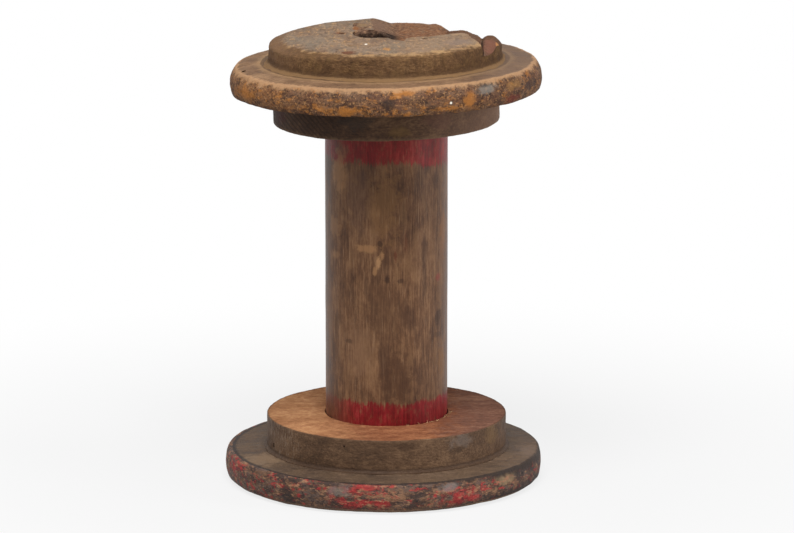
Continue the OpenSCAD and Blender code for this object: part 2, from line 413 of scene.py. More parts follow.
class Finish(Recipe):
    """One material, whose position is in metres in the piece's own frame."""

    def __init__(self, name, where=upright, grain="X", streaks=0.3):
        self.material = bpy.data.materials.new(name)
        self.material.use_nodes = True
        super().__init__(self.material.node_tree)
        self.shader = self.tree.nodes["Principled BSDF"]
        found = self.add("ShaderNodeTexCoord").outputs["Object"]
        self.here = self.add("ShaderNodeMapping", {
            "Vector": found, "Location": where.to_translation(), "Rotation": where.to_euler()},
            vector_type="TEXTURE").outputs[0]
        split = self.add("ShaderNodeSeparateXYZ", {0: self.here}).outputs
        self.x, self.y, self.z = split["X"], split["Y"], split["Z"]
        self.r = self.maths("SQRT", self.total((self.both(self.x, self.x), 1.0), (self.both(self.y, self.y), 1.0)))
        # A quarter turn about Y brings grain that stands upright onto X
        along = self.here if grain == "X" else self.add(
            "ShaderNodeMapping", {"Vector": self.here, "Rotation": (0, math.pi / 2, 0)}).outputs[0]
        wood = self.group(aged_wood, Position=along, Streaks=streaks).outputs
        self.worn, self.fibres, self.pores = wood["Tone"], wood["Fibres"], wood["Pores"]
        self.rag = self.tone(self.here, 4, 5, 0.7)
        normal = self.add("ShaderNodeNewGeometry").outputs["Normal"]
        self.up = self.add("ShaderNodeSeparateXYZ", {0: normal}).outputs["Z"]

    def wood(self, dark, middle, light):
        return self.ramp(self.worn, (0.22, dark), (0.5, middle), (0.78, light))

    def patch(self, size, cover, soft=0.06, shift=0.0, position=None):
        return self.group(patches, Position=position or self.here, Size=size * MM, Cover=cover, Soft=soft,
                          Shift=shift).outputs[0]

    def spot(self, centre, reach):
        return self.group(smudge, Position=self.here, Centre=[c * MM for c in centre],
                          Reach=[c * MM for c in reach], Rag=self.rag).outputs[0]

    def stained(self, colour, stains):
        """Lays spots over the colour, each given as a shade, how thick it is, its centre and its reach."""
        for tint, share, centre, reach in stains:
            colour = self.over(self.spot(centre, reach), colour, tint, share)
        return colour

    def hatch(self, pitch):
        """Slanting saw marks, as on end grain, from 0 to 1."""
        turn = self.total((self.x, 1 / (pitch * MM)), (self.z, 1 / (pitch * MM)), (self.rag, 0.25))
        wave = self.maths("SINE", self.both(turn, math.tau))
        return self.level(wave, 0.5, 1.0)

    def done(self, colour, roughness, height, depth, specular=0.15):
        """Sends the colour, roughness and surface height to the shader."""
        self.feed(self.shader.inputs["Base Color"], colour)
        self.feed(self.shader.inputs["Roughness"], roughness)
        self.shader.inputs["Specular IOR Level"].default_value = specular
        bump = self.add("ShaderNodeBump", {"Height": height, "Distance": depth * MM, "Strength": 1.0})
        self.feed(self.shader.inputs["Normal"], bump.outputs[0])
        return self.material


def front(radius, x, z):
    """The place on a wall of that radius that faces the camera at x."""
    return (x, -math.sqrt(radius * radius - x * x), z)


def barrel_finish():
    """Wood polished dark by thread, with a red painted band at each end."""
    f = Finish("polished barrel", grain="Z", streaks=0.75)
    colour = f.wood(shade(64, 42, 29), shade(98, 68, 47), shade(132, 98, 70))
    tall = f.tone(f.here, 6, 4, 0.6, (1, 1, 4), 2.2)
    colour = f.over(f.step(tall, 0.55, 0.85), colour, shade(62, 41, 30), 0.5)
    colour = f.over(f.step(tall, 0.42, 0.15), colour, shade(122, 90, 62), 0.35)
    tan, dark, red_brown = shade(152, 112, 76), shade(48, 31, 23), shade(84, 44, 28)
    marks = [
        (tan, 0.50, (-22.5, 152), (4.5, 8, 12)), (tan, 0.35, (-24, 126), (3, 8, 6)),
        (tan, 0.30, (-24, 112), (3, 8, 2)), (shade(84, 60, 50), 0.45, (-13, 140), (7, 8, 18)),
        (shade(128, 92, 58), 0.45, (-1, 138), (9, 8, 18)), (tan, 0.65, (-9.5, 117), (6, 6, 2.2)),
        (tan, 0.70, (-2, 114), (1.3, 6, 2.5)), (shade(166, 126, 88), 0.75, (-3.6, 110.5), (1.5, 6, 3)),
        (tan, 0.70, (-5.5, 106.5), (1.3, 6, 2.2)), (dark, 0.70, (-3, 120), (1.2, 6, 1.6)),
        (red_brown, 0.80, (4.3, 114), (0.9, 6, 3)), (dark, 0.70, (0.3, 103), (1.6, 6, 2.6)),
        (dark, 0.55, (6.5, 101.5), (2.0, 6, 1.2)), (red_brown, 0.40, (9, 120), (1.2, 6, 5)),
        (shade(78, 54, 38), 0.45, (-1, 84), (11, 8, 18)), (shade(66, 42, 28), 0.65, (5.5, 55), (8, 8, 15)),
        (shade(126, 94, 70), 0.40, (-13, 68), (7, 8, 18)), (dark, 0.60, (24.6, 82), (1.6, 8, 5)),
        (dark, 0.45, (24.4, 73), (2.4, 8, 1.6)), (shade(128, 82, 42), 0.45, (26.8, 121), (2.0, 8, 14)),
        (dark, 0.50, (-18, 71.5), (2, 8, 1.2)), (shade(130, 44, 44), 0.5, (24.4, 101), (1.4, 6, 2)),
        (shade(124, 84, 44), 0.40, (26.2, 60), (2.0, 8, 8)),
    ]
    colour = f.stained(colour, [(tint, share, front(barrel_r, *at), reach) for tint, share, at, reach in marks])
    colour = f.over(f.pores, colour, shade(44, 28, 20), 0.35)
    # Long thin scratches, paler than the wood
    scratches = f.step(f.clouds(f.here, 0.5, 1, 0.5, (1.2, 1.2, 26), 4.4), 0.68, 0.74)
    colour = f.over(scratches, colour, shade(150, 118, 90), 0.35)
    height = f.total((f.fibres, 0.6), (f.pores, -0.5), (scratches, -0.3))

    wavy = f.both(f.maths("SUBTRACT", f.tone(f.here, 9, 4, 0.65, (1, 1, 1.5), 7.7), 0.5), 0.0026)
    grit = f.both(f.maths("SUBTRACT", f.fibres, 0.5), 0.0045)
    foot_top = (winding_floor + 10.6) * MM
    foot = f.step(f.total((f.z, 1.0), (wavy, 1.0), (grit, 1.0)), foot_top + 0.0010, foot_top - 0.0010)
    head_foot = f.total((f.both(f.step(f.x, 0.005, 0.029), -0.0035), 1.0), (1.0, (head_z - 15) * MM))
    above = f.maths("SUBTRACT", f.total((f.z, 1.0), (wavy, 1.3), (grit, 1.2)), head_foot)
    head = f.step(above, -0.0012, 0.0012)
    flaked = f.patch(1.5, 0.80, 0.12, 1.7, f.stretched(f.here, (1, 1, 2.5)))
    left = f.step(f.x, -0.027, -0.014)
    foot = f.both(f.both(foot, f.level(left, 0.30, 1.0)), f.level(flaked, 0.45, 0.95))
    head = f.both(f.both(head, f.level(f.spot(front(barrel_r, -21, 163), (4, 8, 6)), 1.0, 0.35)),
                  f.level(flaked, 0.40, 0.85))
    red = f.ramp(f.worn, (0.25, shade(84, 12, 16)), (0.55, shade(122, 22, 28)), (0.8, shade(150, 48, 50)))
    colour = f.over(f.maths("MAXIMUM", foot, head), colour, red)
    rough = f.total((f.worn, 0.25), (0.30, 1.0))
    return f.done(colour, rough, height, 0.10, 0.16)


def lower_collar_finish():
    """Dark wall, and a raw top face that goes from tan at -X through orange to brown at +X."""
    f = Finish("raw topped collar")
    wall = f.wood(shade(58, 42, 30), shade(84, 62, 45), shade(112, 86, 64))
    r, floor = lower_collar_r, winding_floor
    wall = f.stained(wall, [
        (shade(112, 100, 92), 0.45, front(r, 36, floor - 3.5), (9, 8, 3.5)),
        (shade(54, 38, 26), 0.70, front(r, 34, floor - 7.5), (3.5, 8, 1.8)),
        (shade(56, 38, 26), 0.55, front(r, 9, floor - 3.5), (6, 8, 2)),
        (shade(110, 84, 54), 0.45, front(r, 50, floor - 4), (4, 8, 6)),
        (shade(116, 92, 72), 0.40, front(r, -52, floor - 9), (8, 12, 6)),
    ])
    hairs = f.step(f.clouds(f.here, 0.7, 3, 0.7, (1, 1, 7), 6.1), 0.52, 0.66)
    rough_end = f.step(f.total((f.x, 1.0), (f.rag, 0.014)), -0.030, -0.044)
    wall = f.over(f.both(hairs, rough_end), wall, shade(158, 138, 120), 0.55)
    foot = f.step(f.total((f.z, 1.0), (f.rag, 0.0004)), (lower_rim_top + 2.6) * MM, (lower_rim_top + 1.5) * MM)
    wall = f.over(foot, wall, shade(54, 38, 27), 0.7)

    raw = f.ramp(f.worn, (0.2, shade(118, 76, 48)), (0.5, shade(160, 112, 76)), (0.8, shade(198, 152, 108)))
    rust = f.ramp(f.worn, (0.2, shade(74, 40, 26)), (0.5, shade(118, 70, 45)), (0.8, shade(156, 104, 70)))
    brown = f.ramp(f.worn, (0.2, shade(78, 50, 40)), (0.5, shade(112, 76, 60)), (0.8, shade(146, 108, 86)))
    drift = f.total((f.x, 1.0), (f.rag, 0.022))
    top = f.over(f.step(drift, -0.030, 0.012), raw, rust)
    top = f.over(f.step(drift, 0.026, 0.056), top, brown)
    worn_ring = f.both(f.step(f.r, 0.040, 0.030), f.patch(5, 0.45, 0.08, 2.4))
    top = f.over(worn_ring, top, shade(120, 70, 44), 0.4)
    rim_line = f.step(f.total((f.r, 1.0), (f.rag, 0.0008)), 0.0566, 0.0574)
    top = f.over(rim_line, top, shade(70, 46, 32), 0.55)
    facing = f.both(f.step(f.up, 0.55, 0.85), f.step(f.z, (floor - 1.5) * MM, (floor - 1.0) * MM))
    colour = f.over(facing, wall, top)
    height = f.total((f.fibres, 0.8), (f.both(hairs, rough_end), 0.5))
    return f.done(colour, f.level(facing, 0.62, 0.95), height, 0.18, 0.16)


def upper_collar_finish():
    """Dark disc under the upper rim, with saw marks on its end grain."""
    f = Finish("dark collar", head_frame)
    colour = f.wood(shade(50, 34, 25), shade(82, 59, 43), shade(116, 88, 65))
    ends = f.step(f.x, -0.014, -0.032)
    colour = f.over(f.both(f.hatch(2.6), ends), colour, shade(36, 23, 17), 0.75)
    colour = f.over(f.step(f.x, 0.012, 0.050), colour, shade(118, 90, 74), 0.45)
    lower_edge = f.step(f.total((f.z, 1.0), (f.rag, 0.002)), 0.0032, 0.0012)
    colour = f.over(lower_edge, colour, shade(118, 94, 72), 0.4)
    colour = f.stained(colour, [
        (shade(58, 48, 42), 0.6, front(upper_collar_r, -14, 9), (10, 8, 5)),
        (shade(104, 78, 44), 0.5, front(upper_collar_r, 6, 4.5), (6, 8, 3)),
        (shade(98, 66, 56), 0.4, front(upper_collar_r, 24, 9), (9, 8, 5)),
        (shade(66, 30, 26), 0.5, front(upper_collar_r, -50, 8), (4, 12, 6)),
    ])
    height = f.total((f.fibres, 0.8), (f.both(f.hatch(2.6), ends), -0.6))
    return f.done(colour, f.level(f.fibres, 0.6, 0.8), height, 0.16, 0.16)


def lower_rim_finish():
    """Grey-brown top, and an edge of red paint worn to tan and black."""
    f = Finish("worn red rim")
    top = f.wood(shade(50, 38, 30), shade(76, 59, 46), shade(106, 85, 67))
    top = f.over(f.patch(12, 0.4, 0.12), top, shade(92, 72, 52), 0.35)
    top = f.stained(top, [(shade(132, 108, 84), 0.5, (-60, -30, lower_rim_top), (14, 12, 5)),
                          (shade(122, 100, 84), 0.4, (68, -10, lower_rim_top), (6, 14, 5))])

    flat = f.stretched(f.here, (2.2, 2.2, 1))
    edge = f.wood(shade(56, 40, 32), shade(96, 69, 52), shade(142, 106, 80))
    edge = f.over(f.patch(3.4, 0.45, 0.05, 3.3, flat), edge, shade(84, 70, 64), 0.75)
    edge = f.over(f.patch(4.2, 0.46, 0.04, 5.3, flat), edge, shade(50, 38, 35), 0.8)
    red = f.ramp(f.worn, (0.25, shade(104, 22, 24)), (0.55, shade(146, 42, 42)), (0.8, shade(180, 78, 68)))
    more = f.maths("MAXIMUM", f.spot(front(lower_rim_r, -12, 8), (16, 12, 9)),
                   f.spot(front(lower_rim_r, 36, 6), (12, 14, 7)))
    more = f.maths("MAXIMUM", more, f.spot((-72, -26, 11), (5, 9, 5)))
    cover = f.patch(3.6, 0.56, 0.05, 0.9, flat)
    sparse = f.patch(2.6, 0.26, 0.04, 4.9, flat)
    edge = f.over(f.maths("MAXIMUM", f.both(cover, more), sparse), edge, red, 0.88)
    edge = f.over(f.patch(1.5, 0.26, 0.04, 8.1, flat), edge, shade(160, 120, 90), 0.65)
    edge = f.over(f.patch(1.8, 0.22, 0.04, 2.6, flat), edge, shade(38, 31, 31), 0.8)
    edge = f.stained(edge, [
        (shade(118, 110, 106), 0.65, front(lower_rim_r, 31, 12), (7, 8, 2.5)),
        (shade(112, 104, 98), 0.60, front(lower_rim_r, -22, 11), (6, 8, 2.5)),
        (shade(152, 128, 96), 0.60, front(lower_rim_r, 58, 11), (7, 10, 3.5)),
        (shade(36, 30, 30), 0.75, front(lower_rim_r, -47, 4), (4, 8, 2.5)),
    ])
    # Darker towards the bottom of the painted edge: partly dirt, partly painted shade where the rounded edge turns
    # under.
    foot = f.step(f.total((f.z, 1.0), (f.rag, 0.004)), 0.0068, 0.0030)
    edge = f.over(foot, edge, shade(52, 41, 36), 0.75)
    brow = f.total((f.r, 1.0), (f.rag, 0.0007))
    on_edge = f.step(brow, 0.0741, 0.0745)
    colour = f.over(on_edge, top, edge)
    line = f.both(f.step(brow, 0.0722, 0.0736), f.step(brow, 0.0750, 0.0743))
    colour = f.over(line, colour, shade(32, 24, 22), 0.85)
    under = f.step(f.up, -0.5, -0.8)
    colour = f.over(under, colour, f.wood(shade(70, 52, 40), shade(104, 80, 62), shade(134, 108, 86)))
    height = f.total((f.fibres, 0.8), (f.both(cover, more), 0.5), (f.rag, 0.5))
    return f.done(colour, f.level(f.worn, 0.5, 0.85), height, 0.22, 0.2)


def upper_rim_finish():
    """Weathered disc whose edge shows ochre wood through brown and black dirt, with painted shade along the edge's
    lower fringe and on its underside.
    """
    f = Finish("weathered rim", head_frame)
    top = f.wood(shade(76, 55, 40), shade(114, 86, 63), shade(152, 121, 92))
    dust = f.step(f.total((f.r, 1.0), (f.rag, 0.003)), 0.0645, 0.0605)
    top = f.over(dust, top, shade(160, 128, 92), 0.55)
    seam = f.step(f.total((f.r, 1.0), (f.rag, 0.0006)), 0.0598, 0.0590)
    top = f.over(seam, top, shade(78, 56, 38), 0.8)
    top = f.over(f.step(f.x, 0.030, 0.060), top, shade(100, 82, 70), 0.5)

    flat = f.stretched(f.here, (2, 2, 1))
    edge = f.wood(shade(54, 36, 26), shade(92, 64, 45), shade(134, 98, 68))
    edge = f.over(f.patch(5, 0.45, 0.08, 3.3, flat), edge, shade(108, 84, 68), 0.55)
    edge = f.over(f.patch(7, 0.45, 0.08, 8.3, flat), edge, shade(84, 50, 36), 0.5)
    edge = f.over(f.both(f.hatch(2.6), f.step(f.x, -0.035, -0.055)), edge, shade(140, 92, 50), 0.45)
    ochre = shade(166, 106, 46)
    low = f.step(f.total((f.z, 1.0), (f.rag, 0.004)), 0.0235, 0.0195)
    middle = f.both(f.step(f.x, -0.050, -0.034), f.step(f.x, 0.048, 0.030))
    edge = f.over(f.both(f.both(f.patch(3.0, 0.46, 0.05, 0.4, flat), low), middle), edge, ochre, 0.8)
    edge = f.over(f.patch(2.6, 0.20, 0.05, 7.1, flat), edge, ochre, 0.6)
    edge = f.over(f.patch(3.2, 0.36, 0.05, 6.0, flat), edge, shade(50, 35, 28), 0.7)
    edge = f.over(f.patch(1.3, 0.28, 0.05, 1.9), edge, shade(32, 24, 20), 0.7)
    edge = f.over(f.patch(1.2, 0.24, 0.05, 7.7), edge, shade(176, 130, 84), 0.55)
    # Painted shade: the edge darkens towards its lower fringe, where the rounded edge turns under.
    painted_shade_fringe = f.step(f.total((f.z, 1.0), (f.rag, 0.003)), (rim_seat + 4.0) * MM, (rim_seat + 0.8) * MM)
    edge = f.over(painted_shade_fringe, edge, shade(52, 36, 27), 0.6)
    r, z = upper_rim_r, rim_seat
    edge = f.stained(edge, [
        (ochre, 0.70, front(r, 8, z + 11.5), (7, 8, 1.8)), (ochre, 0.65, front(r, -18, z + 3), (8, 8, 2.2)),
        (ochre, 0.60, front(r, 39, z + 6), (3.5, 8, 4)), (ochre, 0.55, front(r, -66, z + 6), (6, 16, 3)),
        (shade(40, 31, 28), 0.75, front(r, 1.5, z + 6), (3.5, 8, 3.5)),
        (shade(118, 112, 104), 0.65, front(r, 47, z + 9.5), (5.5, 12, 3)),
        (shade(36, 30, 30), 0.55, front(r, 46, z + 11.5), (3, 12, 1.2)),
        (shade(88, 28, 26), 0.70, front(r, 59, z + 2.5), (5, 12, 2.2)),
        (shade(44, 32, 32), 0.70, front(r, 68, z + 7), (3.5, 14, 3.5)),
        (shade(142, 104, 60), 0.5, front(r, 60, z + 9), (4, 12, 2.5)),
        (shade(235, 230, 215), 0.95, front(r, 30.3, z + 5.6), (0.6, 4, 0.6)),
    ])
    brow = f.total((f.r, 1.0), (f.rag, 0.0022))
    on_edge = f.step(brow, 0.0712, 0.0732)
    colour = f.over(on_edge, top, edge)
    line = f.both(f.both(f.step(brow, 0.0702, 0.0716), f.step(brow, 0.0738, 0.0722)), f.step(f.z, 0.020, 0.024))
    colour = f.over(line, colour, shade(182, 142, 104), 0.6)
    # Painted shade on the faces that look down, under the overhanging rim.
    under = f.step(f.up, -0.4, -0.7)
    colour = f.over(under, colour, shade(66, 48, 36), 0.8)
    height = f.total((f.fibres, 0.8), (f.rag, 1.0))
    return f.done(colour, f.level(f.worn, 0.6, 0.9), height, 0.25, 0.16)


def hub_finish():
    """Weathered grey hub disc, worn yellow along its top edge and dark on its side."""
    f = Finish("weathered hub", head_frame, streaks=0.15)
    top = f.wood(shade(88, 71, 58), shade(126, 104, 86), shade(164, 138, 112))
    # The top is seen almost edge on, and its blotches look round from there
    deep = f.stretched(f.here, (1, 3, 1))
    top = f.over(f.patch(8, 0.42, 0.12, 0.0, deep), top, shade(112, 82, 62), 0.5)
    top = f.over(f.patch(10, 0.40, 0.12, 6.2, deep), top, shade(116, 108, 96), 0.55)
    top = f.over(f.patch(1.8, 0.26, 0.07, 4.4, deep), top, shade(186, 146, 100), 0.6)
    top = f.over(f.patch(1.5, 0.24, 0.07, 1.4, deep), top, shade(72, 58, 48), 0.6)
    top = f.over(f.step(f.x, 0.0, 0.02), top, shade(160, 132, 104), 0.3)
    brim = f.both(f.step(f.total((f.r, 1.0), (f.rag, 0.006)), 0.0520, 0.0555), f.step(f.y, 0.0, -0.02))
    top = f.over(brim, top, shade(176, 138, 92), 0.6)
    top = f.stained(top, [
        (shade(92, 46, 30), 0.80, (-17, -44, hub_top), (3.6, 4.5, 3)),
        (shade(188, 128, 62), 0.55, (1, -38, hub_top), (2, 4, 3)),
        (shade(240, 236, 225), 0.95, (-8.8, -22.8, hub_top), (0.9, 1.4, 2)),
        (shade(225, 205, 180), 0.80, (17.6, -12.8, hub_top), (1.0, 0.8, 2)),
        (shade(120, 70, 42), 0.70, (-21, 8, hub_top), (3.2, 3.2, 2)),
        (shade(196, 158, 112), 0.55, (26, -44, hub_top), (5, 4, 3)),
        (shade(118, 104, 98), 0.45, (34, -22, hub_top), (7, 12, 3)),
        (shade(118, 108, 96), 0.45, (-34, -10, hub_top), (9, 14, 3)),
    ])
    side = f.wood(shade(64, 45, 29), shade(94, 68, 45), shade(124, 94, 64))
    drips = f.step(f.clouds(f.here, 2.2, 4, 0.65, (1, 1, 4), 2.1), 0.5, 0.66)
    side = f.over(drips, side, shade(60, 44, 30), 0.45)
    side = f.over(f.patch(7, 0.35, 0.08, 5.1), side, shade(116, 88, 54), 0.4)
    side = f.over(f.step(f.x, -0.036, -0.052), side, shade(128, 98, 74), 0.45)
    low = f.step(f.total((f.z, 1.0), (f.rag, 0.002)), (hub_seat + 5.5) * MM, (hub_seat + 3.0) * MM)
    side = f.over(low, side, shade(70, 50, 33), 0.6)
    fillet = f.step(f.total((f.z, 1.0), (f.rag, 0.0006)), (hub_seat + 1.5) * MM, (hub_seat + 0.7) * MM)
    side = f.over(fillet, side, shade(132, 102, 70), 0.7)
    crown = f.total((f.z, 1.0), (f.rag, 0.0016))
    on_top = f.step(crown, (hub_top - 0.9) * MM, (hub_top + 0.3) * MM)
    colour = f.over(on_top, side, top)
    # Painted shade: the bore's wall and the thin ring at its mouth are painted near black.
    colour = f.over(f.step(f.r, 0.0074, 0.0068), colour, shade(36, 25, 18), 0.9)
    height = f.total((f.fibres, 1.0), (f.rag, 0.8))
    return f.done(colour, f.level(f.worn, 0.7, 0.95), height, 0.28, 0.12)


def broken_finish():
    """Raw brown wood, crumbly where the hub disc split."""
    f = Finish("broken wood", head_frame)
    crumbs = f.tone(f.here, 1.1, 5, 0.7, (1.5, 1, 1))
    colour = f.ramp(f.total((crumbs, 0.7), (f.worn, 0.3)), (0.15, shade(58, 40, 31)), (0.5, shade(112, 85, 68)),
                    (0.85, shade(170, 132, 98)))
    rusty = f.both(f.patch(3, 0.55, 0.08, 2.2), f.step(f.x, 0.002, 0.010))
    colour = f.over(rusty, colour, shade(140, 90, 58), 0.45)
    colour = f.over(f.step(f.x, 0.028, 0.032), colour, shade(76, 58, 48), 0.55)
    layers = f.step(f.clouds(f.here, 1.0, 3, 0.6, (14, 14, 1), 3.3), 0.46, 0.54)
    steep = f.step(f.up, 0.75, 0.35)
    colour = f.over(f.both(layers, steep), colour, shade(52, 38, 32), 0.6)
    colour = f.stained(colour, [
        (shade(116, 112, 98), 0.7, (27, 3, hub_top - 3), (4, 4, 4)),
        (shade(132, 88, 72), 0.7, (49.5, -16, hub_top - 4), (4, 14, 4)),
        (shade(190, 134, 80), 0.7, (53.4, -14, hub_top - 3), (1.2, 6, 3)),
        (shade(128, 102, 86), 0.5, (-4, 36, hub_top - 1.5), (6, 22, 4)),
        (shade(146, 120, 88), 0.6, (-11, 30, hub_top - 0.5), (3.5, 6, 3)),
        (shade(150, 94, 52), 0.6, (-14.5, 22, hub_top - 1), (2.4, 8, 3)),
    ])
    # Near the bore the break darkens with depth: partly dirt, partly painted shade in the deep hollow by the bore.
    deep = f.step(f.total((f.z, 1.0), (f.rag, 0.0024)), (hub_top + 0.6) * MM, (hub_top - 1.8) * MM)
    near_bore = f.both(f.step(f.y, 0.021, 0.015), f.step(f.x, 0.009, 0.003))
    colour = f.over(f.both(deep, near_bore), colour, shade(30, 20, 14), 0.95)
    return f.done(colour, 0.92, f.total((crumbs, 1.0), (f.both(layers, steep), -0.6)), 0.45, 0.1)


def hole_finish():
    """Insides of the bore, the worm holes and small chips, dark partly with dirt and partly with painted shade of these
    hollows.
    """
    f = Finish("hole dirt and painted shade")
    stain = f.tone(f.here, 2.5, 4, 0.6, (1, 1, 4))
    colour = f.ramp(stain, (0.2, shade(26, 18, 14)), (0.8, shade(62, 44, 32)))
    return f.done(colour, 0.85, stain, 0.12, 0.1)


def rust_finish():
    """Rusty iron of the nails."""
    f = Finish("rusty nail")
    flakes = f.tone(f.here, 0.7, 5, 0.7)
    colour = f.ramp(flakes, (0.1, shade(44, 26, 18)), (0.5, shade(98, 50, 28)), (0.9, shade(150, 84, 42)))
    return f.done(colour, 0.85, flakes, 0.2, 0.3)


def peg_finish():
    """Pale dry wood of the pegs."""
    f = Finish("dry peg", grain="Z", streaks=0.8)
    colour = f.wood(shade(120, 90, 58), shade(150, 116, 78), shade(182, 146, 102))
    return f.done(colour, 0.75, f.fibres, 0.1)


def fibre_finish():
    """Torn wood fibres, paler than the wood that they hang from."""
    f = Finish("torn fibre", grain="Z", streaks=0.8)
    colour = f.wood(shade(120, 92, 64), shade(160, 128, 92), shade(190, 158, 118))
    return f.done(colour, 0.8, f.fibres, 0.05)


# Near-black insides of pits, worm holes and chips: dirt, and painted shade of the hollows.
hole_dirt_and_shade = hole_finish()
torn = fibre_finish()


# The pieces
def make_barrel():
    inner = tenon_r - 1
    outline = joined([(barrel_r, lower_rim_top + hidden_gap), (barrel_r, head_z + upper_collar_t - 1)],
                     [(inner, head_z + upper_collar_t - 1), (inner, head_z + hub_seat - 1),
                      (bore_r, head_z + hub_seat - 1), (bore_r, 5.5), (inner, 5.5),
                      (inner, lower_rim_top + hidden_gap)], gap=0.9)
    piece = turned("spool_barrel", outline, steps=360)
    weather(piece, 18, 0.3, (1, 1, 3))
    weather(piece, 4, 0.12, (1, 1, 5), 3)
    piece.data.materials.append(barrel_finish())
    finish_piece(piece, "barrel")


def make_lower_rim():
    crown = lower_rim_top / 2
    edge_r = lower_rim_r - 20
    brow = [(lower_rim_r - 2.0, lower_rim_top - 0.75), (60.6, lower_rim_top - 0.25), (60.0, lower_rim_top),
            (57, lower_rim_top)]
    outline = joined([(bore_r + 0.2, 0.05), *arc((lower_rim_r - 4.8, 4.2), 4.2, -90, -32),
                      *arc((edge_r, crown), 20, -17, 19), *brow],
                     [(tenon_r + 0.1, lower_rim_top), (tenon_r + 0.1, 5), (bore_r, 5), (bore_r, 0.3)])
    piece = turned("lower_rim_disc", outline, lower_rim_x)
    weather(piece, 14, 0.6, (1.5, 1.5, 1))
    weather(piece, 3.5, 0.35, (2, 2, 1), 3)
    piece.data.materials.append(lower_rim_finish())
    pits = [drill((x, y, 0), (0, 0, 1), nail_head_r + 0.1, nail_sink, hole_dirt_and_shade) for x, y in nail_places]
    cut(piece, join(pits))
    finish_piece(piece, "lower_rim")


def make_lower_collar():
    foot = lower_rim_top - 0.6
    inner = barrel_r + 0.15
    outline = joined([(collar_foot_r, foot), *arc((collar_foot_r, lower_rim_top + collar_cove), collar_cove, -90, -180),
                      *arc((lower_collar_r - 0.7, winding_floor - 0.7), 0.7, 0, 90), (inner, winding_floor),
                      (inner, winding_floor - 1)], [(inner, foot)], gap=0.7)
    piece = turned("lower_collar_disc", outline)
    weather(piece, 12, 0.35, (1.5, 1, 1))
    weather(piece, 2.2, 0.28, (2.5, 1, 1), 3)
    piece.data.materials.append(lower_collar_finish())
    worm = [((-54.0, -19.6, 19.5), 1.0), ((-20, -54, 27.6), 0.45), ((22, 53.2, 24), 0.8), ((57.2, 6, 22), 0.75)]
    cut(piece, join([drill(at, (at[0], at[1], 0), radius, 5, hole_dirt_and_shade) for at, radius in worm]))
    frays = []
    for _ in range(26):
        turn = math.radians(random.triangular(-70, 8, -8))
        root = Vector((math.cos(turn), math.sin(turn), 0)) * (barrel_r + random.uniform(0.2, 1.8))
        root.z = winding_floor - 0.3
        way = Vector((random.uniform(-1, 1), random.uniform(-1, 1), random.uniform(0.2, 0.8)))
        frays.append(fibre(root, root + way * random.uniform(0.6, 1.7), random.uniform(0.3, 0.7), torn))
    piece = join([piece, *frays])
    finish_piece(piece, "lower_collar")


def make_upper_collar():
    inner = barrel_r + 0.5
    outline = joined([(inner, 1), (inner, 0), *arc((upper_collar_r - 1.2, 1.2), 1.2, -90, 0),
                      (upper_collar_r, rim_seat - hidden_gap)], [(inner, rim_seat - hidden_gap)], gap=0.7)
    piece = turned("upper_collar_disc", outline)
    weather(piece, 12, 0.45, (1.5, 1, 1))
    weather(piece, 2.4, 0.25, (2.5, 1, 1), 3)
    piece.data.materials.append(upper_collar_finish())
    chips = [chip((39.6, -37.6, -0.6), (2.4, 1.6, 1.5), hole_dirt_and_shade), chip((7.6, -30.2, -0.2), (1.3, 0.9, 1.3), hole_dirt_and_shade)]
    cut(piece, join(chips))
    splinters = [fibre((5.6, -30.3, 0.8), (6.4, -30.6, -3.4), 0.75, torn), fibre((4.6, -30.4, 0.8), (4.4, -31.0, -1.6), 0.5, torn)]
    piece = join([piece, *splinters])
    place(piece, head_frame)
    finish_piece(piece, "upper_collar")


def make_upper_rim():
    crown, curve = 5.5, 12
    inner = tenon_r + 0.6
    outline = joined([(upper_collar_r - 2, rim_seat), (upper_rim_r - 4.5, rim_seat),
                      *arc((upper_rim_r - curve, rim_seat + crown), curve, -26, 44),
                      (upper_rim_r - 4.2, hub_seat - 0.6), (hub_r + 4, hub_seat), (hub_r - 1, hub_seat)],
                     [(inner, hub_seat), (inner, rim_seat)])
    piece = turned("upper_rim_disc", outline)
    weather(piece, 13, 0.7, (1.4, 1.4, 1))
    weather(piece, 4, 0.4, (1.6, 1.2, 1), 3)
    wear_down(piece, lambda x, y: 1.3 * ease(np.hypot(x, y), 66, 74) * ease(-x, -10, 50))
    piece.data.materials.append(upper_rim_finish())
    worm = [((-66.9, -18, 28.6), (-0.6, -0.5, 1), 1.1), ((-30, 66, 24), (-30, 66, 8), 0.8), ((71, 22, 22), (71, 22, 2), 0.7)]
    cutters = [drill(at, way, radius, 5, hole_dirt_and_shade) for at, way, radius in worm]
    cutters.append(chip((68.3, 29.5, 28.2), (2.2, 3.2, 2.8), piece.data.materials[0]))
    cut(piece, join(cutters))
    place(piece, head_frame)
    finish_piece(piece, "upper_rim")


# The break in the hub disc. Heights are in millimetres from its top face, and X and Y are the head's.
run_out = (-10.5, 52, math.radians(19), math.radians(4))
crest = [(7.5, -16.5), (9.3, -16.2), (10.6, -7.5), (16, -5.1), (21, -4.8), (27, -2.6), (31, 0), (36, 3.4),
         (38, 1.4), (39.7, -5.5), (42.1, -16), (44.4, -27), (46.2, -36), (62, -46)]
back = [(62, 62), (-18, 62), (-9, 14), (0, -5)]
floor_line = [(-20, -4.0), (25, -4.0), (27.3, -4.6), (29.8, -6.3), (31, -7.2), (33.5, -6.3), (37, -5.6), (42, -6.5),
              (44.2, -6.8), (46.3, -8.2), (49, -7.4), (60, -7.0)]
crater = [(-15.4, 2), (-12, -4.1), (-9.5, -5.8), (-4.8, -7), (0, -6.7), (4, -5.4), (7.5, 0), (5, 6), (-1, 10),
          (-5, 17), (-10, 19), (-15, 17)]
crater_line = [(-8, -6.0), (-5, -7.6), (4, -7.8), (9, -6.0), (13, -3.4), (19, -1.0)]
hollow = [(-15.5, 16), (-15.8, 34), (-13, 37), (-8.5, 36.5), (-7, 26), (-7.5, 16)]


